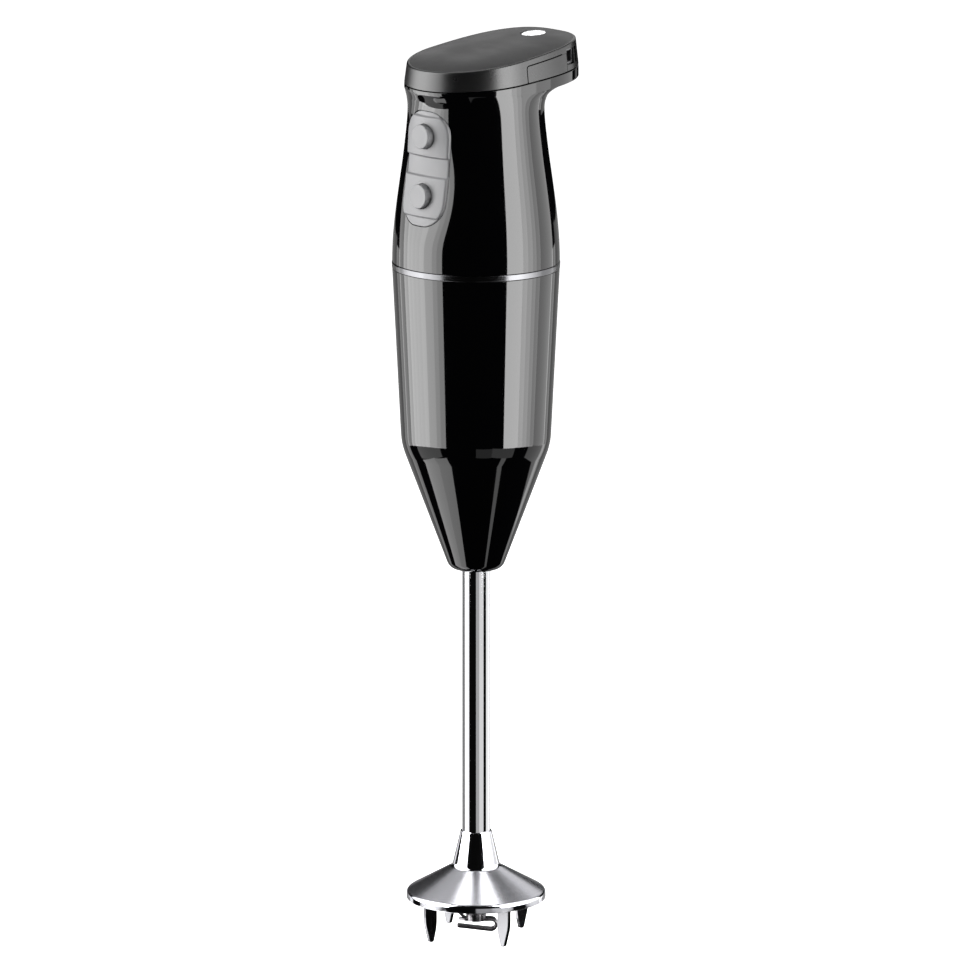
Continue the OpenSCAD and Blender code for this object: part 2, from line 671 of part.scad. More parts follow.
seam_t = 0.045;
head_wall = 2.2;
stick_low_z = 287;
cell_low_z = 289.4;
block_y = 29.4;
slot_low_t = 0.33;
slot_h = 5;
rear_drop = 0.8;
window_y0 = block_y + 0.6;
window_y1 = 34.6;
rear_window_half = 14;
tab_y0 = 3.2;
tab_y1 = 28.8;
tab_gap = 0.5;
tab_top_t = 0.72;
pivot = [22.4, 27];
tab_zone_x = 20;
hook_x = 25;
hook_t = 1.9;
hook_y = 5;
hook_w = 6;
hook_low_z = seam_z0 - 3.6;
hook_gap = 0.6;
hook_swing = (pivot[1] - hook_y) * sin(latch_travel);
floor_t = 0.25;

// Outside of the head, drawn in by inset, between two layers
module head_solid(inset, t0, t1) loft([
    head_ring(t0, inset + 0.3), head_ring(t0 + 0.05 * (t1 - t0), inset),
    head_ring(t1 - 0.1 * (t1 - t0), inset + 1), head_ring(t1, inset + 1.3)]);

// Straight walls along the head's outline, for hollows that reach through a layer
module head_core(inset, t0, t1) loft([head_ring(t0, inset), head_ring(t1, inset)]);

slot_z = layer_z(32, slot_low_t);
module hanging_slot(grow) {
    translate([-40, window_y0 - grow, slot_z - grow])
        cube([80, window_y1 - window_y0 + 2 * grow, slot_h + 2 * grow]);
    translate([-rear_window_half - grow, window_y0 - grow, slot_z - rear_drop - grow])
        cube([2 * rear_window_half + 2 * grow, 30, slot_h + rear_drop + 2 * grow]);
}

module tab_zone(side, grow) intersection() {
    translate([side > 0 ? tab_zone_x : -tab_zone_x - 40, tab_y0 - grow, seam_z0 - 20])
        cube([40, tab_y1 - tab_y0 + 2 * grow, 60]);
    head_core(-5, -1, tab_top_t + grow * 0.1);
}

module head_shell() color(satin_black) difference() {
    head_solid(0, seam_t, 1);
    // hollow over the floor, open to the top cover, up to the solid block at the rear
    difference() {
        intersection() {
            head_core(head_wall + 1, floor_t, 2);
            translate([-50, -50, seam_z0 - 20]) cube([100, 50 + block_y, 60]);
        }
        // lugs that hold the latch pins' upper ends
        for (s = [-1, 1]) translate([s * pivot[0], pivot[1], layer_z(pivot[1], 0.6)])
            cylinder(r = 3.4, h = 20);
    }
    // seat of the top cover
    head_core(2.3, 0.86, 2);
    for (s = [-1, 1]) {
        tab_zone(s, tab_gap);
        translate([s * pivot[0], pivot[1], seam_z0 - 10]) cylinder(r = 1, h = 30);
    }
    hanging_slot(0.9);
    // grooves behind the windows
    for (s = [-1, 1]) translate([s > 0 ? 20 : -40, 36.4, slot_z - 0.6]) cube([20, 1.8, slot_h + 1.6]);
    for (p = stick_screws) translate([p[0], p[1], seam_z0 - 10]) cylinder(r = 1, h = 30);
    translate([0, pack_y, seam_z0 - 10]) cylinder(r = 9, h = 13);
}

// Slightly domed matt plate that closes the head's top
module top_cover() color([0.16, 0.16, 0.17]) difference() {
    loft([head_ring(0.87, 2.4), head_ring(1.01, 2.4), head_ring(1.03, 3), head_ring(1.08, 8),
        head_ring(1.12, 14), head_ring(1.14, 20)]);
    at_lens() translate([0, 0, -5]) cylinder(r = lens_r + 0.1, h = 10);
}
lens_y = 34;
lens_r = 5.4;
module at_lens() translate([0, lens_y, layer_z(lens_y, 1.06)]) rotate([atan(rim_rise), 0, 0])
    children();
module charge_lens() color([0.92, 0.92, 0.92]) at_lens() rotate_extrude() polygon([
    [0, -1.2], [lens_r, -1.2], [lens_r, 0.35], [lens_r - 0.4, 0.6], [0, 0.75]]);

// Liner of the hanging slot: a frame in each side window and the walls between them
module hanging_insert() color([0.3, 0.3, 0.31]) difference() {
    intersection() {
        hanging_slot(0.85);
        head_core(1.6, 0.05, 0.98);
    }
    hanging_slot(0);
}

module latch_pins() color(steel) for (s = [-1, 1])
    translate([s * pivot[0], pivot[1], layer_z(pivot[1], 0.06)]) cylinder(r = 1, h = 8.8);

// Finger tab in the head's flank: it turns on its pin, and its hook reaches into the grip
module latch_tab(side) {
    intersection() {
        difference() {
            head_solid(0, seam_t, 1);
            head_core(head_wall, -1, 2);
        }
        tab_zone(side, 0);
    }
    intersection() {
        difference() {
            translate([side * pivot[0], pivot[1], seam_z0 - 5]) cylinder(r = 2.2, h = 30);
            translate([side * pivot[0], pivot[1], seam_z0 - 6]) cylinder(r = 1 + run_gap, h = 32);
        }
        tab_zone(side, 0);
        head_core(1, seam_t, 1);
    }
    translate([side > 0 ? hook_x : -hook_x - hook_t, hook_y, hook_low_z]) cube([hook_t, hook_w, 7]);
}
module latch_tab_left() color(satin_black) latch_tab(-1);
module latch_tab_right() color(satin_black) latch_tab(1);

stick_screws = [for (a = [30, 150, 270])
    [(stick_r - 2.4) * cos(a), pack_y + (stick_r - 2.4) * sin(a)]];

module cell_holder() color([0.2, 0.2, 0.22]) difference() {
    translate([0, pack_y, 0]) union() {
        translate([0, 0, stick_low_z]) ring(stick_r, stick_r - 1.1, 80);
        translate([0, 0, stick_low_z]) cylinder(r = stick_r, h = 1.6);
        intersection() {
            translate([0, 0, 355.4]) around(3, stick_r - 2.4, 30) cylinder(r = 2.3, h = 20);
            cylinder(r = stick_r, h = 400);
        }
    }
    head_core(-9, seam_t, 4);
    translate([0, pack_y, 0]) for (x = contact_xs)
        translate([x - 1.2, -2.2, stick_low_z - over]) cube([2.4, 4.4, 5]);
    for (p = stick_screws) translate([p[0], p[1], 355]) cylinder(r = 0.92, h = 30);
}

cell_mid_r = 2 * cell_r / sqrt(3) + 0.1;
module battery_cells() color([0.1, 0.35, 0.6]) translate([0, pack_y, cell_low_z])
    around(3, cell_mid_r, 90) {
        cylinder(r = cell_r, h = cell_h - 0.8);
        translate([0, 0, cell_h - 0.8]) cylinder(r = 3, h = 0.8);
    }

module cell_strips() color(steel) translate([0, pack_y, 0]) {
    for (z = [cell_low_z - 0.3, cell_low_z + cell_h]) translate([0, 0, z]) linear_extrude(0.3)
        for (i = [0, 1]) rotate(90 + i * 120) polygon([[cell_mid_r - 3, -3], [cell_mid_r + 3, -3],
            [-cell_mid_r / 2 + 3, 12.4], [-cell_mid_r / 2 - 4, 10]]);
}

module pack_terminals() color(brass) translate([0, pack_y, stick_low_z])
    for (x = contact_xs) translate([x - 1.1, -2.1, 0]) cube([2.2, 4.2, 1.2]);

floor_rise = (1 - floor_t) * seam_rise + floor_t * rim_rise;
module pack_board() color(board_green)
    translate([0, 0, layer_z(0, floor_t) + 1]) rotate([atan(floor_rise), 0, 0]) {
        translate([-13, -10, 0]) cube([26, 24, 1.2]);
        translate([-9, -6, 1.2]) cube([8, 8, 1.6]);
        translate([3, -4, 1.2]) cube([6, 5, 2]);
    }
module pack_screws() color(steel) for (p = stick_screws)
    translate([p[0], p[1], layer_z(p[1], floor_t) + 0.17]) screw(0.9, 5, 2, 1.4);

// ---- Electronics over the motor ---------------------------------------------------------

module control_board() color(board_green) {
    translate([0, 0, 271]) ring(27, 3, 1.6);
    for (x = [-16, -8, 8]) translate([x, 10, 272.6]) cube([6, 10, 4]);
    translate([-4, -20, 272.6]) cube([9, 9, 2]);
    for (x = [-14, 16]) translate([x, -12, 272.6]) cylinder(r = 4, h = 8);
}

// Straight leads: brushes to board, board to bay contacts, and board to switch board
lead_r = 0.9;
module wiring() color([0.7, 0.1, 0.1]) {
    for (x = [-13, 13]) translate([x, 0, can_top_z + 2.4]) cylinder(r = lead_r, h = 6.6);
    for (x = [-6, 6]) translate([x, pack_y, 272.6]) cylinder(r = lead_r, h = 8.4);
    translate([0, -21.6, 272.6]) cylinder(r = lead_r, h = 33);
}

lower_housing();
trim_ring();
upper_housing();
button_panel();
switch_board();
tact_switches();
control_board();
wiring();
battery_bay();
bay_screws();
bay_contacts();
head_seal();
motor_mount_plate();
plate_screws();
motor_screws();
motor_can();
motor_magnets();
lower_bearing();
upper_bearing();
motor_end_bell();
brush_card();
brush_holders();
carbon_brushes();
brush_springs();
tube_flange();
flange_screws();
shaft_tube();
upper_bush();
lower_bush();
shaft_seal();
guard_bell();
motor_shaft();
rotor_core();
rotor_windings();
commutator();
cooling_fan();
motor_coupling();
coupling_spider();
shaft_coupling();
drive_shaft();
drive_pin();
tool_hub();
hub_clip();
tool_blade();
head_shell();
top_cover();
charge_lens();
hanging_insert();
latch_pins();
cell_holder();
battery_cells();
cell_strips();
pack_board();
pack_terminals();
pack_screws();
latch_tab_left();
latch_tab_right();
button_upper();
button_lower();
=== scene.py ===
import json
import math

import bmesh
import bpy
from mathutils import Matrix, Vector


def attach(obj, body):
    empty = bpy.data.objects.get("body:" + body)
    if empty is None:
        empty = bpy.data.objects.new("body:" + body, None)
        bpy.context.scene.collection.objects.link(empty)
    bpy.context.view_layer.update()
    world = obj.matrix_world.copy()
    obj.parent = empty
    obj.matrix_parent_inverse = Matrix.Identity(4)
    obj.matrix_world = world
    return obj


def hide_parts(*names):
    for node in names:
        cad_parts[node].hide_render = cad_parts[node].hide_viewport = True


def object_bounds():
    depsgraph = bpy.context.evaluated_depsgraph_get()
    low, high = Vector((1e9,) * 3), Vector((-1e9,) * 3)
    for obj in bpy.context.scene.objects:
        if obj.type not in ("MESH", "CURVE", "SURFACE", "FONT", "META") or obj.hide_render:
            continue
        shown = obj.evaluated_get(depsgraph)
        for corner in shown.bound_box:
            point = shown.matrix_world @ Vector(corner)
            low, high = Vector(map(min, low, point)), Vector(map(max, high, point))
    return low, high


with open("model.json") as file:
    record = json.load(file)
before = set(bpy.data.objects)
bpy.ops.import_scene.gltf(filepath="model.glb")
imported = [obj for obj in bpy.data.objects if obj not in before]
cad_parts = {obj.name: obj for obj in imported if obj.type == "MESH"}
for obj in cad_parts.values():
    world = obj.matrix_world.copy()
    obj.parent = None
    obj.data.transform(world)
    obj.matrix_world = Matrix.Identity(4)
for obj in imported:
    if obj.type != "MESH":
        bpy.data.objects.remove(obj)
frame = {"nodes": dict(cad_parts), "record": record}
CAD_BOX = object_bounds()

# All shapes are given in millimetres and turned into metres when a mesh is made.
MM = 0.001
SEGMENTS = 256
FILLET_STEPS = 5

# ---- Camera ------------------------------------------------------------------------------
CAMERA_AZIMUTH = math.radians(46)
CAMERA_ELEVATION = math.radians(12.3)
CAMERA_DISTANCE = 4.0
CAMERA_LENS = 350.0
AIM_Z = 0.1843
AIM_RIGHT = 0.0017


def make_camera():
    data = bpy.data.cameras.new("camera")
    data.lens = CAMERA_LENS
    data.sensor_width = 36.0
    data.clip_end = 50.0
    camera = bpy.data.objects.new("camera", data)
    bpy.context.scene.collection.objects.link(camera)
    right = Vector((math.cos(CAMERA_AZIMUTH), math.sin(CAMERA_AZIMUTH), 0))
    out = Vector((math.sin(CAMERA_AZIMUTH) * math.cos(CAMERA_ELEVATION),
                  -math.cos(CAMERA_AZIMUTH) * math.cos(CAMERA_ELEVATION),
                  math.sin(CAMERA_ELEVATION)))
    aim = Vector((0, 0, AIM_Z)) + right * AIM_RIGHT
    camera.location = aim + out * CAMERA_DISTANCE
    camera.rotation_euler = (-out).to_track_quat("-Z", "Y").to_euler()
    bpy.context.scene.camera = camera


# ---- Outlines of the body ----------------------------------------------------------------
BELT_TOP = 280.1
BELT_R = 35.8
WAIST_Z = 345.0
WAIST_R = 28.9
HEAD_B = 28.8
HEAD_FRONT = 32.0
HEAD_REAR = 48.5
REAR_POWER = 2.8
SEAM_Z = 359.2
SEAM_RISE = 0.065
RIM_Z = 369.2
RIM_RISE = 0.115
LIP_H = 4.6
FRONT_LIP_H = 1.2
PACK_Y = 3.4
WALL = 2.3
FLAT_MID_Z = 316.0
FLAT_HALF_H = 27.0
FLAT_DEPTH = 2.6


def grip_r(z):
    t = max(0.0, min(1.0, (WAIST_Z - z) / (WAIST_Z - BELT_TOP)))
    bulge = (math.sin(math.radians(90 * t)) + 3 * t * t - 2 * t ** 3) / 2
    return WAIST_R + (BELT_R - WAIST_R) * bulge


def skin_r(angle, z):
    """Radius of the grip's surface, eased in on the front under the button panel."""
    v = min(1.0, abs(z - FLAT_MID_Z) / FLAT_HALF_H)
    return grip_r(z) - FLAT_DEPTH * (1 - v * v) ** 2 * max(0.0, math.cos(angle)) ** 8


def signed_power(value, power):
    return math.copysign(abs(value) ** power, value)


def head_point(angle, inset):
    """Plan of the head: an ellipse in front and a squarer superellipse behind."""
    in_front = math.cos(angle) > 0
    power = 2.0 if in_front else REAR_POWER
    reach = HEAD_FRONT if in_front else HEAD_REAR
    x = (HEAD_B - inset) * signed_power(math.sin(angle), 2 / power)
    y = -(reach - inset) * signed_power(math.cos(angle), 2 / power)
    return Vector((x, y))


def layer_z(y, t):
    """Height of the head's layers: 0 at the seam, 1 at the top rim."""
    return (1 - t) * (SEAM_Z + SEAM_RISE * y) + t * (RIM_Z + RIM_RISE * y)


def even_angles(count):
    """Angles that space points evenly along the head's outline."""
    fine = [2 * math.pi * i / 7200 for i in range(7201)]
    points = [head_point(a, 0) for a in fine]
    lengths = [0.0]
    for a, b in zip(points, points[1:]):
        lengths.append(lengths[-1] + (b - a).length)
    angles = []
    step = 0
    for i in range(count):
        target = lengths[-1] * i / count
        while lengths[step + 1] < target:
            step += 1
        part = (target - lengths[step]) / (lengths[step + 1] - lengths[step])
        angles.append(fine[step] + part * (fine[step + 1] - fine[step]))
    return angles


HEAD_ANGLES = even_angles(SEGMENTS)


def head_ring(t, inset, y_max=100.0):
    ring = []
    for angle in HEAD_ANGLES:
        p = head_point(angle, inset)
        y = min(p.y, y_max)
        ring.append(Vector((p.x, y, layer_z(y, t))))
    return ring


def circle(r, z, segments=SEGMENTS, centre=(0.0, 0.0)):
    step = 2 * math.pi / segments
    return [Vector((centre[0] + r * math.sin(step * i), centre[1] - r * math.cos(step * i), z))
            for i in range(segments)]


# ---- Mesh tools --------------------------------------------------------------------------


def soften(rings, cuts):
    """Rings with a smooth curve in place of each corner that has a cut length.

    The first and last ring of an open stack take no cut, because the rings wrap round.
    """
    result = []
    for i, cut in enumerate(cuts):
        if cut == 0:
            result.append(rings[i])
            continue
        before = rings[i - 1]
        after = rings[(i + 1) % len(rings)]
        for k in range(FILLET_STEPS + 1):
            t = k / FILLET_STEPS
            row = []
            for a, c, b in zip(before, rings[i], after):
                start = c + (a - c).normalized() * cut
                end = c + (b - c).normalized() * cut
                row.append(start * (1 - t) ** 2 + c * 2 * t * (1 - t) + end * t * t)
            result.append(row)
    return result


def solid(name, rings, closed=False, place=None):
    """Closed solid through a stack of rings: joined in a loop, or with a cap on each end."""
    mesh = bpy.data.meshes.new(name)
    bm = bmesh.new()
    rows = []
    for ring in rings:
        rows.append([bm.verts.new((place @ p if place else p) * MM) for p in ring])
    pairs = list(zip(rows, rows[1:]))
    if closed:
        pairs.append((rows[-1], rows[0]))
    else:
        bm.faces.new(rows[0])
        bm.faces.new(rows[-1])
    count = len(rows[0])
    for low, high in pairs:
        for i in range(count):
            j = (i + 1) % count
            bm.faces.new((low[i], low[j], high[j], high[i]))
    bmesh.ops.recalc_face_normals(bm, faces=bm.faces)
    bm.to_mesh(mesh)
    bm.free()
    piece = bpy.data.objects.new(name, mesh)
    bpy.context.scene.collection.objects.link(piece)
    return piece


def turned(name, profile, closed=True, segments=SEGMENTS, centre=(0.0, 0.0), place=None):
    """Solid of revolution from (radius, height, corner cut) points."""
    rings = [circle(r, z, segments, centre) for r, z, cut in profile]
    cuts = [cut for r, z, cut in profile]
    return solid(name, soften(rings, cuts), closed, place)


def rounded(corners):
    """Outline through (u, v, cut) corners, as 2-D points."""
    rings = [[Vector((u, v))] for u, v, cut in corners]
    return [row[0] for row in soften(rings, [cut for u, v, cut in corners])]


def shrunk(outline, depth):
    """Outline drawn in by a small depth along its corner bisectors."""
    count = len(outline)
    area = sum(outline[i - 1].cross(outline[i]) for i in range(count))
    side = 1 if area > 0 else -1
    result = []
    for i, p in enumerate(outline):
        ahead = (outline[(i + 1) % count] - p).normalized()
        behind = (p - outline[i - 1]).normalized()
        tangent = (ahead + behind).normalized()
        inward = Vector((-tangent.y, tangent.x)) * side
        result.append(p + inward * depth)
    return result


def plate(name, outline, low, high, place, bevel=0.0):
    """Flat piece between two levels of its local third axis, with bevelled edges."""
    levels = [(low, 0.0), (high, 0.0)]
    if bevel:
        levels = [(low, bevel), (low + bevel, 0.0), (high - bevel, 0.0), (high, bevel)]
    rings = []
    for level, inset in levels:
        points = shrunk(outline, inset) if inset else outline
        rings.append([Vector((p.x, p.y, level)) for p in points])
    return solid(name, rings, place=place)


def drop(obj):
    mesh = obj.data
    bpy.data.objects.remove(obj)
    bpy.data.meshes.remove(mesh)


def combine(piece, other, operation):
    modifier = piece.modifiers.new("combine", "BOOLEAN")
    modifier.object = other
    modifier.operation = operation
    modifier.solver = "EXACT"
    graph = bpy.context.evaluated_depsgraph_get()
    mesh = bpy.data.meshes.new_from_object(piece.evaluated_get(graph))
    piece.modifiers.clear()
    old = piece.data
    name = old.name
    piece.data = mesh
    bpy.data.meshes.remove(old)
    mesh.name = name
    drop(other)


def carve(piece, *cutters):
    for cutter in cutters:
        combine(piece, cutter, "DIFFERENCE")


def merge(piece, *others):
    for other in others:
        combine(piece, other, "UNION")


def box(x, y, z):
    """Box cutter between two values on each axis."""
    low = [Vector((x[0], y[0], z[0])), Vector((x[1], y[0], z[0])),
           Vector((x[1], y[1], z[0])), Vector((x[0], y[1], z[0]))]
    high = [p + Vector((0, 0, z[1] - z[0])) for p in low]
    return solid("cutter", [low, high])


def finish_piece(piece, body, nodes, materials, sharp=32.0):
    """Smooth shading with crisp edges, then the frame's facts and the materials."""
    mesh = piece.data
    mesh.shade_smooth()
    mesh.set_sharp_from_angle(angle=math.radians(sharp))
    weighted = piece.modifiers.new("weighted", "WEIGHTED_NORMAL")
    weighted.keep_sharp = True
    mesh.materials.clear()
    for material in materials:
        mesh.materials.append(material)
    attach(piece, body)
    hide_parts(*nodes)
    return piece


# ---- Materials ---------------------------------------------------------------------------


def new_material(name):
    material = bpy.data.materials.new(name)
    material.use_nodes = True
    nodes = material.node_tree.nodes
    nodes.clear()
    output = nodes.new("ShaderNodeOutputMaterial")
    shader = nodes.new("ShaderNodeBsdfPrincipled")
    material.node_tree.links.new(shader.outputs["BSDF"], output.inputs["Surface"])
    return material, shader


def noise(tree, scale, detail, vector):
    node = tree.nodes.new("ShaderNodeTexNoise")
    node.inputs["Scale"].default_value = scale
    node.inputs["Detail"].default_value = detail
    tree.links.new(vector, node.inputs["Vector"])
    return node.outputs["Fac"]


def spread(tree, source, low, high):
    node = tree.nodes.new("ShaderNodeMapRange")
    node.inputs["From Min"].default_value = 0.3
    node.inputs["From Max"].default_value = 0.7
    node.inputs["To Min"].default_value = low
    node.inputs["To Max"].default_value = high
    tree.links.new(source, node.inputs["Value"])
    return node.outputs["Result"]


def turning_vector(tree, coordinates):
    """Radius and height in place of position, so that noise becomes lathe rings."""
    split = tree.nodes.new("ShaderNodeSeparateXYZ")
    tree.links.new(coordinates, split.inputs[0])
    flat = tree.nodes.new("ShaderNodeCombineXYZ")
    tree.links.new(split.outputs["X"], flat.inputs["X"])
    tree.links.new(split.outputs["Y"], flat.inputs["Y"])
    length = tree.nodes.new("ShaderNodeVectorMath")
    length.operation = "LENGTH"
    tree.links.new(flat.outputs[0], length.inputs[0])
    rings = tree.nodes.new("ShaderNodeCombineXYZ")
    tree.links.new(length.outputs["Value"], rings.inputs["X"])
    tree.links.new(split.outputs["Z"], rings.inputs["Z"])
    return rings.outputs[0]


def finish(name, colour, rough, metal=0.0, shade=0.1, grain=0.0, grain_scale=1500.0,
           patch_scale=60.0, rings=False, specular=0.5, coat=0.0):
    """Material with colour that varies by shade, roughness between two values and a grain."""
    material, shader = new_material(name)
    tree = material.node_tree
    place = tree.nodes.new("ShaderNodeTexCoord").outputs["Object"]
    patches = noise(tree, patch_scale, 3.0, place)
    fine = noise(tree, grain_scale, 2.0, turning_vector(tree, place) if rings else place)
    mix = tree.nodes.new("ShaderNodeMix")
    mix.data_type = "RGBA"
    mix.inputs["A"].default_value = [c * (1 - shade) for c in colour] + [1]
    mix.inputs["B"].default_value = [min(1, c * (1 + shade)) for c in colour] + [1]
    tree.links.new(patches, mix.inputs["Factor"])
    tree.links.new(mix.outputs["Result"], shader.inputs["Base Color"])
    source = fine if rings else patches
    tree.links.new(spread(tree, source, rough[0], rough[1]), shader.inputs["Roughness"])
    shader.inputs["Metallic"].default_value = metal
    shader.inputs["Specular IOR Level"].default_value = specular
    shader.inputs["Coat Weight"].default_value = coat
    if grain:
        bump = tree.nodes.new("ShaderNodeBump")
        bump.inputs["Strength"].default_value = 0.6
        bump.inputs["Distance"].default_value = grain * MM
        tree.links.new(fine, bump.inputs["Height"])
        tree.links.new(bump.outputs["Normal"], shader.inputs["Normal"])
    return material


FINISHES = {
    "gloss_black": finish("gloss_black", (0.0004, 0.0004, 0.0005), (0.03, 0.06), shade=0.2),
    "satin_black": finish("satin_black", (0.002, 0.002, 0.0021), (0.24, 0.32), shade=0.2,
                          grain=0.02, grain_scale=2500),
    "matt_cover": finish("matt_cover", (0.006, 0.006, 0.0062), (0.34, 0.44), shade=0.3,
                         grain=0.05, grain_scale=1800),
    "grey_trim": finish("grey_trim", (0.1, 0.1, 0.104), (0.14, 0.2), metal=1.0, shade=0.05),
    "grey_soft": finish("grey_soft", (0.085, 0.085, 0.088), (0.4, 0.5), shade=0.05,
                        grain=0.01, grain_scale=3000),
    "lens": finish("lens", (0.85, 0.85, 0.86), (0.2, 0.3), shade=0.02, grain=0.01),
    "inner_plastic": finish("inner_plastic", (0.05, 0.05, 0.052), (0.4, 0.5), grain=0.02),
    "chrome_tube": finish("chrome_tube", (0.85, 0.85, 0.87), (0.03, 0.06), metal=1.0, shade=0.02,
                          rings=True, grain_scale=3000),
    "bell_steel": finish("bell_steel", (0.72, 0.72, 0.76), (0.05, 0.1), metal=1.0, shade=0.05),
    "blade_steel": finish("blade_steel", (0.3, 0.29, 0.3), (0.15, 0.3), metal=1.0, shade=0.1,
                          grain=0.01, grain_scale=2500),
    "machine_steel": finish("machine_steel", (0.6, 0.6, 0.62), (0.25, 0.4), metal=1.0,
                            rings=True, grain=0.01, grain_scale=4000),
    "core_steel": finish("core_steel", (0.3, 0.3, 0.31), (0.4, 0.6), metal=1.0, grain=0.02),
    "magnet": finish("magnet", (0.1, 0.1, 0.11), (0.5, 0.7), metal=0.6, grain=0.03),
    "brass": finish("brass", (0.75, 0.56, 0.26), (0.2, 0.35), metal=1.0),
    "copper": finish("copper", (0.7, 0.33, 0.17), (0.25, 0.4), metal=1.0, rings=True, grain=0.05),
    "carbon": finish("carbon", (0.03, 0.03, 0.03), (0.5, 0.7), grain=0.02),
    "board": finish("board", (0.02, 0.17, 0.08), (0.3, 0.4), shade=0.2, grain=0.01),
    "rubber": finish("rubber", (0.02, 0.02, 0.02), (0.5, 0.65), grain=0.02),
    "cell": finish("cell", (0.05, 0.2, 0.45), (0.15, 0.25), coat=0.3),
    "lead": finish("lead", (0.45, 0.03, 0.03), (0.3, 0.4)),
}
CONE_FINISH = finish("turned_cone", (0.62, 0.62, 0.66), (0.2, 0.27), metal=1.0, shade=0.05,
                     rings=True, grain=0.012, grain_scale=2600)

TINE_FINISH = finish("tine_steel", (0.24, 0.24, 0.25), (0.08, 0.16), metal=1.0, shade=0.05)


def dress_cad_nodes():
    """Every CAD node that stays takes the finish of its slot."""
    for subpart in frame["record"]["subparts"]:
        node = frame["nodes"][subpart["node"]]
        material = FINISHES[subpart["material_slot"]]
        for holder in node.material_slots:
            holder.material = material


# ---- Motor body --------------------------------------------------------------------------


def make_lower_housing():
    piece = turned("motor_body_shell", [
        (6.25, 145.7, 0), (11.3, 145.7, 3.4), (31.95, 200.5, 4.5), (35.8, 277.5, 0.25),
        (33.6, 277.5, 0), (33.6, 271.5, 0), (29.7, 201, 0), (15.0, 160, 0), (6.25, 160, 0)])
    finish_piece(piece, "housing", ["lower_housing"], [FINISHES["gloss_black"]])


def make_trim_ring():
    piece = turned("belt_ring", [
        (31.8, 272.5, 0), (33.5, 272.5, 0), (33.5, 277.5, 0), (35.95, 277.5, 0.4),
        (35.95, 280.1, 0.4), (33.5, 280.1, 0), (33.5, 285.1, 0), (31.8, 285.1, 0)])
    finish_piece(piece, "housing", ["trim_ring"], [FINISHES["grey_trim"]])


FLARE_STEPS = 36
GRIP_STEPS = 44


FLARE_SMOOTHING = 60
FLARE_FIXED_ROWS = 12


def skin_ring(z, offset):
    ring = []
    for a in HEAD_ANGLES:
        r = skin_r(a, z) + offset
        ring.append(Vector((r * math.sin(a), -r * math.cos(a), z)))
    return ring


def flare_ring(s):
    """Ring between the waist and the seam; the front runs up to the seam with no lip."""
    level = 1 - (1 - s) ** 1.5
    ring = []
    for a in HEAD_ANGLES:
        waist = Vector((WAIST_R * math.sin(a), -WAIST_R * math.cos(a)))
        front = max(0.0, math.cos(a)) ** 0.5
        weight = (1 - front) * s ** 3 + front * s * s * (3 - 2 * s)
        lip = (1 - front) * LIP_H + front * FRONT_LIP_H
        p = waist + (head_point(a, 0) - waist) * weight
        z = level * (layer_z(p.y, 0) - lip) + (1 - level) * WAIST_Z
        ring.append(Vector((p.x, p.y, z)))
    return ring


def smooth_rows(rings, first, last):
    """Even out the bends between rows, from the first to the last row."""
    for _ in range(FLARE_SMOOTHING):
        before = rings[first - 1]
        for k in range(first, last):
            row = [0.25 * a + 0.5 * b + 0.25 * c
                   for a, b, c in zip(before, rings[k], rings[k + 1])]
            before = rings[k]
            rings[k] = row


def grip_rings():
    rings = [skin_ring(BELT_TOP, -0.25), skin_ring(BELT_TOP + 0.3, 0)]
    for i in range(1, GRIP_STEPS + 1):
        rings.append(skin_ring(BELT_TOP + (WAIST_Z - BELT_TOP) * i / GRIP_STEPS, 0))
    waist_row = len(rings) - 1
    rings += [flare_ring(i / FLARE_STEPS) for i in range(1, FLARE_STEPS + 1)]
    smooth_rows(rings, waist_row - FLARE_FIXED_ROWS, waist_row + FLARE_STEPS // 2)
    cuts = [0] * (len(rings) - 1) + [0.35]
    rings.append(head_ring(0, 0))
    cuts.append(0.25)
    rings.append(head_ring(0, 0.8))
    cuts.append(0)
    return soften(rings, cuts)


BUTTON_HEIGHTS = (337.5, 312.0)
BUTTON_SLOPE = math.radians(4)


def button_frame(z):
    """Local frame of a button: its third axis points into the grip."""
    turn = Matrix.Rotation(-(math.pi / 2 + BUTTON_SLOPE), 4, "X")
    return Matrix.Translation(Vector((0, -skin_r(0, z), z))) @ turn


def make_upper_housing():
    piece = solid("grip_shell", grip_rings())
    lip_room = [(BELT_R - 2.2, BELT_TOP - 1, 0), (BELT_R - 2.2, BELT_TOP + 5, 0)]
    carve(piece, turned("cutter", lip_room, False, 128))
    hollow = [skin_ring(BELT_TOP - 1, -WALL)]
    for i in range(4, GRIP_STEPS, 4):
        hollow.append(skin_ring(BELT_TOP + (WAIST_Z - BELT_TOP) * i / GRIP_STEPS, -WALL))
    hollow.append(skin_ring(346, -WALL))
    carve(piece, solid("cutter", hollow))
    # opening of the battery bay, and the seat of its flange
    centre = (0.0, PACK_Y)
    carve(piece, turned("cutter", [(22.59, 345, 0), (22.59, 352.5, 0), (25.69, 352.5, 0),
                                   (25.69, 372, 0)], False, 128, centre))
    carve(piece, panel_solid("cutter", 0.15, -1.3, 9.0, False))
    for z in BUTTON_HEIGHTS:
        carve(piece, turned("cutter", [(7.8, 0, 0), (7.8, 6, 0)], False, 48,
                            place=button_frame(z)))
    # pockets for the latch hooks
    for side in (1, -1):
        carve(piece, box(sorted((side * 21.8, side * 27.5)), (4.4, 11.6), (354.8, 367)))
    finish_piece(piece, "housing", ["upper_housing"], [FINISHES["gloss_black"]])


# ---- Button panel ------------------------------------------------------------------------
PANEL_MID = 323.9
PANEL_HALF_W = 12.5
PANEL_HALF_H = 24.5
PANEL_CORNER = 10.5
PAD_HALF = 8.0
PAD_RAMP = 1.1
PAD_RISE = 1.0
EDGE_ROUND = 0.7


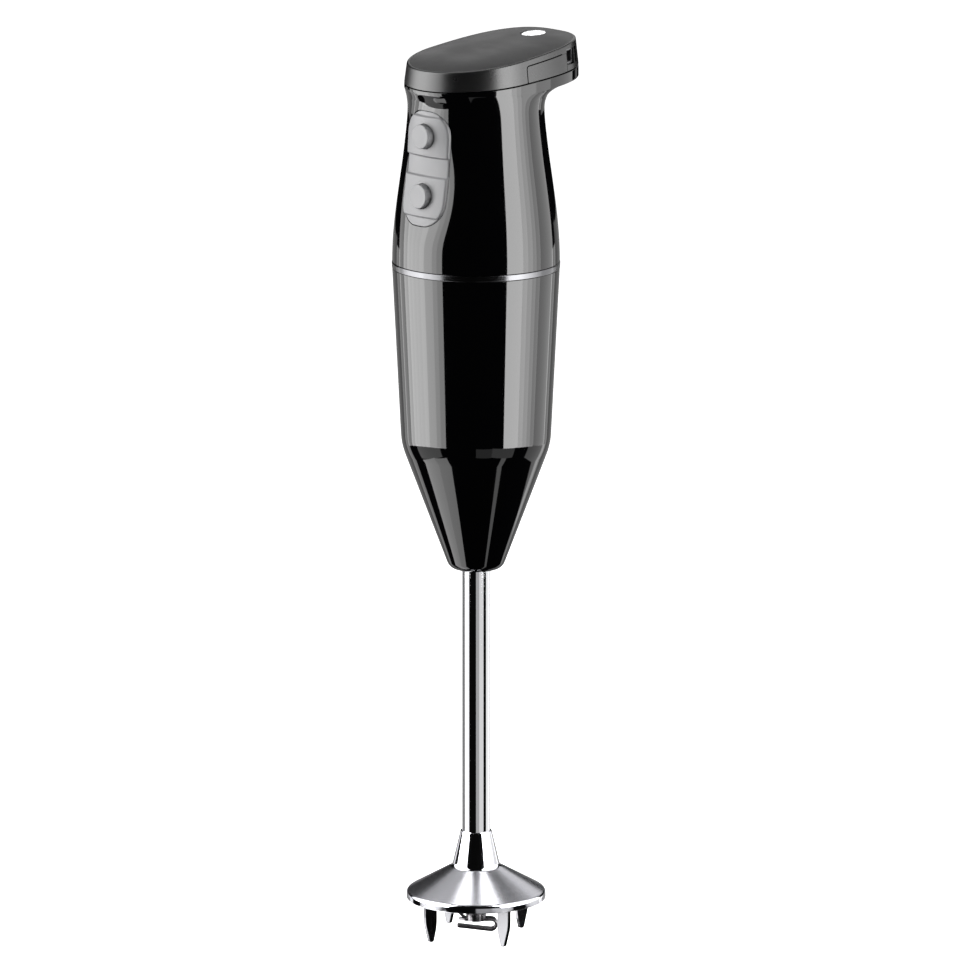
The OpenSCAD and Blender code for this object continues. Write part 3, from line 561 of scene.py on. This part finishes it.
def pad_lift(z):
    d = min(abs(z - h) for h in BUTTON_HEIGHTS)
    t = max(0.0, min(1.0, (PAD_HALF + PAD_RAMP - d) / PAD_RAMP))
    return PAD_RISE * t * t * (3 - 2 * t)


def panel_depth(x, v, grow):
    """Distance inside the panel's outline, seen from the front."""
    r = PANEL_CORNER + grow
    qx = abs(x) - (PANEL_HALF_W + grow - r)
    qv = abs(v) - (PANEL_HALF_H + grow - r)
    outside = math.hypot(max(qx, 0), max(qv, 0)) + min(max(qx, qv), 0)
    return r - outside


def panel_half_width(v, grow):
    r = PANEL_CORNER + grow
    over = abs(v) - (PANEL_HALF_H + grow - r)
    if over <= 0:
        return PANEL_HALF_W + grow
    return PANEL_HALF_W + grow - r + math.sqrt(max(r * r - over * over, 0))


def panel_rows(grow):
    top = PANEL_HALF_H + grow
    rows = {round(top * math.sin(math.pi * (i / 72 - 0.5)), 4) for i in range(73)}
    for h in BUTTON_HEIGHTS:
        for side in (-1, 1):
            for k in range(7):
                rows.add(round(h - PANEL_MID + side * (PAD_HALF + PAD_RAMP * k / 6), 4))
    ordered = sorted(rows)
    kept = [ordered[0]]
    for v in ordered[1:]:
        if v - kept[-1] > 0.06:
            kept.append(v)
    return kept


PANEL_EDGE = (0.0, 0.08, 0.2, 0.4, 0.7, 1.1)
PANEL_INNER = 36


def panel_columns(half):
    edge = [min(e, half * 0.5 * e / PANEL_EDGE[-1]) if half < 2.2 else e for e in PANEL_EDGE]
    inner = half - edge[-1]
    left = [-half + e for e in edge]
    middle = [-inner + 2 * inner * k / PANEL_INNER for k in range(1, PANEL_INNER)]
    right = [half - e for e in reversed(edge)]
    return left + middle + right


def surface_y(x, z, lift):
    """Depth of the grip's surface, moved out by lift, at a point seen from the front."""
    r = grip_r(z)
    for _ in range(3):
        r = skin_r(math.asin(min(1.0, abs(x) / r)), z) + lift
    return -math.sqrt(max(r * r - x * x, 0))


def panel_solid(name, grow, back, front, shaped):
    """Slab over the panel's outline between two distances from the grip's surface."""
    mesh = bpy.data.meshes.new(name)
    bm = bmesh.new()
    faces = []
    for layer in (0, 1):
        grid = []
        for v in panel_rows(grow):
            z = PANEL_MID + v
            row = []
            for x in panel_columns(panel_half_width(v, grow)):
                lift = back
                if layer:
                    lift = front
                    if shaped:
                        near = max(0.0, EDGE_ROUND - panel_depth(x, v, grow))
                        fall = EDGE_ROUND - math.sqrt(max(EDGE_ROUND ** 2 - near ** 2, 0))
                        lift = front + pad_lift(z) - fall
                row.append(bm.verts.new(Vector((x, surface_y(x, z, lift), z)) * MM))
            grid.append(row)
        faces.append(grid)
        for low, high in zip(grid, grid[1:]):
            for i in range(len(low) - 1):
                bm.faces.new((low[i], low[i + 1], high[i + 1], high[i]))
    rims = []
    for grid in faces:
        right = [row[-1] for row in grid]
        left = [row[0] for row in grid]
        rims.append(grid[0] + right[1:] + grid[-1][-2::-1] + left[-2:0:-1])
    for i in range(len(rims[0])):
        j = (i + 1) % len(rims[0])
        bm.faces.new((rims[0][i], rims[0][j], rims[1][j], rims[1][i]))
    bmesh.ops.remove_doubles(bm, verts=bm.verts, dist=1e-7)
    bmesh.ops.recalc_face_normals(bm, faces=bm.faces)
    bm.to_mesh(mesh)
    bm.free()
    piece = bpy.data.objects.new(name, mesh)
    bpy.context.scene.collection.objects.link(piece)
    return piece


def make_panel():
    piece = panel_solid("button_plate", 0, -1.2, 0.25, True)
    for z in BUTTON_HEIGHTS:
        carve(piece, turned("cutter", [(5.5, -6, 0), (5.5, 6, 0)], False, 96,
                            place=button_frame(z)))
    finish_piece(piece, "housing", ["button_panel"], [FINISHES["grey_soft"]])


def make_buttons():
    for name, z in (("upper", BUTTON_HEIGHTS[0]), ("lower", BUTTON_HEIGHTS[1])):
        piece = turned("key_" + name, [
            (3.2, -3.82, 0), (4.2, -3.9, 0.3), (5.2, -3.9, 0.55), (5.2, 2.3, 0), (6.5, 2.3, 0),
            (6.5, 3.1, 0), (2, 3.1, 0), (2, 3.6, 0), (1.3, 3.6, 0), (1.3, 6.4, 0)],
            False, 128, place=button_frame(z))
        finish_piece(piece, name + "_key", ["button_" + name],
                     [FINISHES["grey_soft"]])


# ---- Guard bell and blade ----------------------------------------------------------------
TINE_OUTLINE = rounded([(-3.4, 6, 0), (-3.4, -10.5, 2.4), (-1.5, -17.3, 0.9), (0.7, -17.3, 0.9),
                        (3.4, -8.2, 2.4), (3.4, 4, 0)])


def make_bell():
    piece = turned("guard", [
        (6.2, 16.6, 0), (6.2, 29.7, 0.1), (6.75, 29.7, 0.25), (10.35, 14.35, 1.3),
        (29.95, 3.2, 1.0), (30.2, 2.2, 0.08), (30.2, 0, 0.25), (28.8, 0, 0.1), (28.8, 1.2, 0.3),
        (8.7, 11.6, 1.0), (4.6, 11.6, 0), (4.6, 16.6, 0)])
    for k in range(4):
        stand = Matrix.Rotation(math.pi / 2, 4, "X")
        place = Matrix.Rotation(k * math.pi / 2, 4, "Z") @ Matrix.Translation(
            Vector((22.6, -5.1, 0))) @ stand
        merge(piece, plate("tine", TINE_OUTLINE, -0.9, 0.9, place, 0.18))
    finish_piece(piece, "housing", ["guard_bell"],
                 [FINISHES["bell_steel"], CONE_FINISH, TINE_FINISH], 25.0)
    for face in piece.data.polygons:
        centre = face.center / MM
        reach = math.hypot(centre.x, centre.y)
        on_cone = 3.3 < centre.z < 14.0 and 10.8 < reach < 29.6 and face.normal.z > 0.4
        face.material_index = 1 if on_cone else 0
        if centre.z < -0.3:
            face.material_index = 2


def make_hub():
    piece = turned("tool_socket", [
        (2.05, -9.4, 0), (4.35, -9.4, 0.12), (4.35, -7.6, 0.1), (3.95, -7.3, 0.05),
        (3.95, -6.6, 0.05), (4.35, -6.3, 0.1), (4.35, -4.6, 0.15), (3.75, -4, 0.1),
        (3.75, -1.6, 0.15), (2.05, -1.6, 0)], segments=96)
    carve(piece, box((-6, 6), (-0.75, 0.75), (-3.95, 0)))
    finish_piece(piece, "tool", ["tool_hub"], [FINISHES["blade_steel"]])


# The blade at rest lies along this direction, measured from the frame's first axis.
BLADE_TURN = Matrix.Rotation(math.radians(46), 4, "Z")
BLADE_HALF_W = 2.8
BLADE_HALF_T = 0.575
BLADE_Z = -9.975
WING_X = 5.0
WING_BEND = math.radians(44)


def blade_path():
    """Side view of the bent arm, from under the hub round the loop to its free end."""
    points = [Vector((1.0, BLADE_Z)), Vector((5.2, BLADE_Z))]
    for k in range(15):
        a = math.pi / 2 - math.pi * k / 14
        points.append(Vector((6.4 + 2.35 * math.cos(a), -12.3 + 2.35 * math.sin(a))))
    for k in range(1, 9):
        points.append(Vector((6.4, -14.65)).lerp(Vector((-7.9, -13.0)), k / 8))
    return points


def make_blade():
    points = blade_path()
    rings = []
    for i, p in enumerate(points):
        ahead = points[min(i + 1, len(points) - 1)] - points[max(i - 1, 0)]
        normal = Vector((-ahead.y, ahead.x)).normalized()
        along = i / (len(points) - 1)
        half_w = BLADE_HALF_W * (1 - 0.18 * along)
        outline = rounded([(-half_w, -BLADE_HALF_T, 0.3), (half_w, -BLADE_HALF_T, 0.3),
                           (half_w, BLADE_HALF_T, 0.3), (-half_w, BLADE_HALF_T, 0.3)])
        rings.append([Vector((p.x + normal.x * q.y, q.x, p.y + normal.y * q.y))
                      for q in outline])
    end = points[-1]
    tip = (points[-1] - points[-2]).normalized() * 0.35
    rings.append([Vector((end.x + tip.x, v.y * 0.9, (v.z + tip.y - end.y) * 0.5 + end.y))
                  for v in rings[-1]])
    piece = solid("cutting_blade", rings, place=BLADE_TURN)
    low = BLADE_Z - BLADE_HALF_T
    high = BLADE_Z + BLADE_HALF_T
    merge(piece, turned("disc", [(4, low + 0.03, 0), (4.35, low + 0.03, 0.15),
                                 (4.35, high - 0.03, 0)], False, 96))
    tip_outline = rounded([(-2, -2.8, 0), (-2, 3.3, 0), (-5.2, 3.1, 0), (-5.2, 0.9, 0),
                           (-7.6, 0.4, 0.3), (-7.6, -0.4, 0.3), (-4.7, -2.6, 0.8)])
    merge(piece, plate("tip", tip_outline, low + 0.02, high - 0.02, BLADE_TURN, 0.15))
    wing_outline = rounded([(0, 0.9, 0), (-3.4, 1.1, 0.6), (-5.4, 1.9, 0.5), (-5.9, 2.9, 0.3),
                            (-5.2, 3.2, 0.3), (0, 3.2, 0)])
    place = BLADE_TURN @ Matrix.Translation(Vector((-WING_X, 0, BLADE_Z))) @ Matrix.Rotation(
        WING_BEND, 4, "Y")
    merge(piece, plate("wing", wing_outline, -0.55, 0.55, place, 0.15))
    finish_piece(piece, "tool", ["tool_blade"], [FINISHES["blade_steel"]])


# ---- Head of the battery pack ------------------------------------------------------------
SLOT_Z = layer_z(32, 0.33)
SLOT_H = 5.0
REAR_DROP = 0.8


def head_outside(name):
    rings = [head_ring(0.045, 0.8), head_ring(0.045, 0), head_ring(1, 1.15), head_ring(1, 2.1)]
    return solid(name, soften(rings, [0, 0.3, 0.75, 0]))


def head_core(inset, t0, t1, y_max=100.0):
    return solid("cutter", [head_ring(t0, inset, y_max), head_ring(t1, inset, y_max)])


def tab_prism(side, grow):
    """Outline of a latch tab in side view, carried across the head's flank."""
    y0 = 3.2 - grow
    y1 = 28.8 + grow * 0.4
    step = 25.4
    top = 0.72
    gap_top = top + grow * 0.1
    hinge_top = top + grow * 0.02
    low = -0.6 if grow else 0.0
    corners = [(y0, layer_z(y0, low), 0), (y0, layer_z(y0, gap_top), 1.1 + grow),
               (step, layer_z(step, gap_top), 0.15), (step + 0.3, layer_z(step, hinge_top), 0.1),
               (y1, layer_z(y1, hinge_top), 0), (y1, layer_z(y1, low), 0)]
    outline = rounded(corners)
    inner = [Vector((side * 19.0, p.x, p.y)) for p in outline]
    outer = [Vector((side * 34.0, p.x, p.y)) for p in outline]
    return solid("cutter", [inner, outer])


def make_head_shell():
    piece = head_outside("pack_head")
    carve(piece, head_core(3.2, 0.25, 2, 29.4))
    carve(piece, head_core(2.34, 0.86, 2))
    for side in (-1, 1):
        carve(piece, tab_prism(side, 0.5))
        x = sorted((side * 20.0, side * 40.0))
        carve(piece, box(x, (36.4, 38.2), (SLOT_Z - 0.6, SLOT_Z + SLOT_H + 1)))
    grow = 0.9
    z = (SLOT_Z - grow, SLOT_Z + SLOT_H + grow)
    carve(piece, box((-40, 40), (30 - grow, 34.6 + grow), z))
    carve(piece, box((-14 - grow, 14 + grow), (30 - grow, 60), (z[0] - REAR_DROP, z[1])))
    carve(piece, turned("cutter", [(9, 349, 0), (9, 362.2, 0)], False, 96,
                        (0.0, PACK_Y)))
    finish_piece(piece, "pack", ["head_shell"], [FINISHES["satin_black"]])


def make_tabs():
    for name, side in (("left", -1), ("right", 1)):
        piece = head_outside("latch_" + name)
        carve(piece, head_core(2.2, -1, 2))
        combine(piece, tab_prism(side, 0), "INTERSECT")
        pivot = (side * 22.4, 27.0)
        boss = turned("boss", [(2.2, layer_z(27, 0.1), 0), (2.2, layer_z(27, 0.68), 0)],
                      False, 48, pivot)
        merge(piece, boss)
        carve(piece, turned("cutter", [(1.05, 350, 0), (1.05, 380, 0)], False, 32, pivot))
        merge(piece, box(sorted((side * 25.0, side * 26.9)), (5, 11), (355.6, 362.6)))
        finish_piece(piece, "latch_" + name, ["latch_tab_" + name],
                     [FINISHES["satin_black"]])


LENS_Y = 34.0
DOME_RISE = 0.14
DOME_RUN = 17.6


def make_top_cover():
    edge = 2.38
    rings = [head_ring(0.87, edge), head_ring(1.0, edge)]
    cuts = [0, 0.1]
    for k in range(1, 29):
        run = 24.6 * (k / 28) ** 1.5
        u = min(1.0, run / DOME_RUN)
        rings.append(head_ring(1 + DOME_RISE * (1 - (1 - u) ** 2), edge + run))
        cuts.append(0)
    piece = solid("top_plate", soften(rings, cuts))
    carve(piece, turned("cutter", [(5.45, -5, 0), (5.45, 5, 0)], False, 96, place=LENS_PLACE))
    finish_piece(piece, "pack", ["top_cover"], [FINISHES["matt_cover"]])


LENS_PLACE = Matrix.Translation(Vector((0, LENS_Y, layer_z(LENS_Y, 1.06)))) @ Matrix.Rotation(
    math.atan(RIM_RISE), 4, "X")


def make_lens():
    piece = turned("charge_light", [(5.4, -1.2, 0), (5.4, 0.4, 0.3), (3.4, 0.75, 0.8),
                                    (1.2, 0.8, 0)], False, 96, place=LENS_PLACE)
    finish_piece(piece, "pack", ["charge_lens"], [FINISHES["lens"]])


# ---- Stage and light ---------------------------------------------------------------------
FLOOR_HALF = 8.0
# The floor lies just under the blade where it is pulled off downwards.
FLOOR_DROP = 0.014


def make_floor():
    mesh = bpy.data.meshes.new("floor")
    z = CAD_BOX[0][2] - FLOOR_DROP
    corners = [(-FLOOR_HALF, -FLOOR_HALF, z), (FLOOR_HALF, -FLOOR_HALF, z),
               (FLOOR_HALF, FLOOR_HALF, z), (-FLOOR_HALF, FLOOR_HALF, z)]
    mesh.from_pydata(corners, [], [(0, 1, 2, 3)])
    floor = bpy.data.objects.new("floor", mesh)
    bpy.context.scene.collection.objects.link(floor)
    material, shader = new_material("pale_floor")
    shader.inputs["Base Color"].default_value = (0.8, 0.8, 0.8, 1)
    shader.inputs["Roughness"].default_value = 0.9
    shader.inputs["Specular IOR Level"].default_value = 0.0
    shader.inputs["Emission Color"].default_value = (1, 1, 1, 1)
    shader.inputs["Emission Strength"].default_value = 1.0
    mesh.materials.append(material)
    floor.visible_glossy = False
    floor.visible_diffuse = False
    floor.visible_shadow = False


def softbox(name, turn, half_turn, distance, low, high, radiance):
    """Upright area light that faces the shaft's axis, turned from the camera's direction."""
    data = bpy.data.lights.new(name, "AREA")
    data.shape = "RECTANGLE"
    width = 2 * distance * math.tan(math.radians(half_turn))
    data.size = width
    data.size_y = high - low
    data.energy = radiance * math.pi * width * (high - low)
    light = bpy.data.objects.new(name, data)
    angle = CAMERA_AZIMUTH + math.radians(turn)
    light.location = (distance * math.sin(angle), -distance * math.cos(angle), (low + high) / 2)
    facing = Vector((-math.sin(angle), math.cos(angle), 0))
    light.rotation_euler = facing.to_track_quat("-Z", "Y").to_euler()
    light.visible_camera = False
    bpy.context.scene.collection.objects.link(light)


def overhead(name, right, behind, height, width, depth, radiance):
    data = bpy.data.lights.new(name, "AREA")
    data.shape = "RECTANGLE"
    data.size = width
    data.size_y = depth
    data.energy = radiance * math.pi * width * depth
    light = bpy.data.objects.new(name, data)
    across = Vector((math.cos(CAMERA_AZIMUTH), math.sin(CAMERA_AZIMUTH), 0))
    away = Vector((-math.sin(CAMERA_AZIMUTH), math.cos(CAMERA_AZIMUTH), 0))
    light.location = across * right + away * behind + Vector((0, 0, height))
    light.rotation_euler = (0, 0, CAMERA_AZIMUTH)
    light.visible_camera = False
    bpy.context.scene.collection.objects.link(light)


def make_world():
    world = bpy.data.worlds.new("studio")
    bpy.context.scene.world = world
    world.use_nodes = True
    tree = world.node_tree
    tree.nodes.clear()
    output = tree.nodes.new("ShaderNodeOutputWorld")
    path = tree.nodes.new("ShaderNodeLightPath")
    seen = tree.nodes.new("ShaderNodeBackground")
    seen.inputs["Color"].default_value = (1, 1, 1, 1)
    dim = tree.nodes.new("ShaderNodeBackground")
    dim.inputs["Color"].default_value = (1, 1, 1, 1)
    dim.inputs["Strength"].default_value = 0.003
    mix = tree.nodes.new("ShaderNodeMixShader")
    tree.links.new(path.outputs["Is Camera Ray"], mix.inputs["Fac"])
    tree.links.new(dim.outputs[0], mix.inputs[1])
    tree.links.new(seen.outputs[0], mix.inputs[2])
    tree.links.new(mix.outputs[0], output.inputs["Surface"])


# Strips of light around the object, by the angle from the camera's direction (positive to the
# right): first angle, last angle, brightness. The three lists stand one above another.
BODY_STRIPS = [(-128, -115, 1.8), (-115, -106, 4.8), (-106, -98, 6.8), (-98, -90, 7.6),
               (-90, -82, 8.2), (-82, -74, 9.0), (-74, -61, 7.0), (-61, -54, 5.5),
               (-54, -46, 4.4), (42, 66, 9.8), (66, 74, 7.6), (74, 82, 6.1), (82, 89, 4.6),
               (89, 97, 3.2), (97, 128, 1.9)]
SHAFT_STRIPS = [(-104, -57, 1.2), (0, 25, 0.4), (25, 62, 0.75), (88, 134, 1.0)]
TAPER_STRIPS = [(-104, -75, 3.4), (-75, -50, 2.8), (43, 52, 1.5)]
STRIP_DISTANCE = 0.5


def strips(name, rows, low, high):
    for k, (first, last, radiance) in enumerate(rows):
        softbox(name + str(k), (first + last) / 2, (last - first) / 2, STRIP_DISTANCE,
                low, high, radiance)


def light_stage():
    make_floor()
    make_world()
    strips("body_strip_", BODY_STRIPS, 0.037, 1.0)
    strips("shaft_strip_", SHAFT_STRIPS, -0.135, 0.037)
    strips("taper_strip_", TAPER_STRIPS, -1.2, -0.135)
    softbox("backdrop_left", -134, 6, 1.6, -2.9, 0.05, 1.15)
    softbox("backdrop_right", 134, 6, 1.6, -2.9, 0.05, 1.15)
    softbox("backdrop", 180, 40, 1.6, -2.9, 0.05, 0.35)
    softbox("cap_fill", 165, 24, 1.6, 0.55, 1.3, 0.9)
    overhead("softbox_top", 0.0, 0.7, 2.0, 1.0, 0.7, 3.6)
    overhead("softbox_top_left", -0.9, 1.5, 1.8, 1.2, 1.4, 0.4)
    overhead("softbox_top_right", 1.2, 1.3, 1.8, 0.5, 1.4, 0.4)
    bpy.context.scene.view_settings.view_transform = "Standard"


make_camera()
dress_cad_nodes()
make_lower_housing()
make_trim_ring()
make_upper_housing()
make_panel()
make_buttons()
make_bell()
make_hub()
make_blade()
make_head_shell()
make_tabs()
make_top_cover()
make_lens()
light_stage()
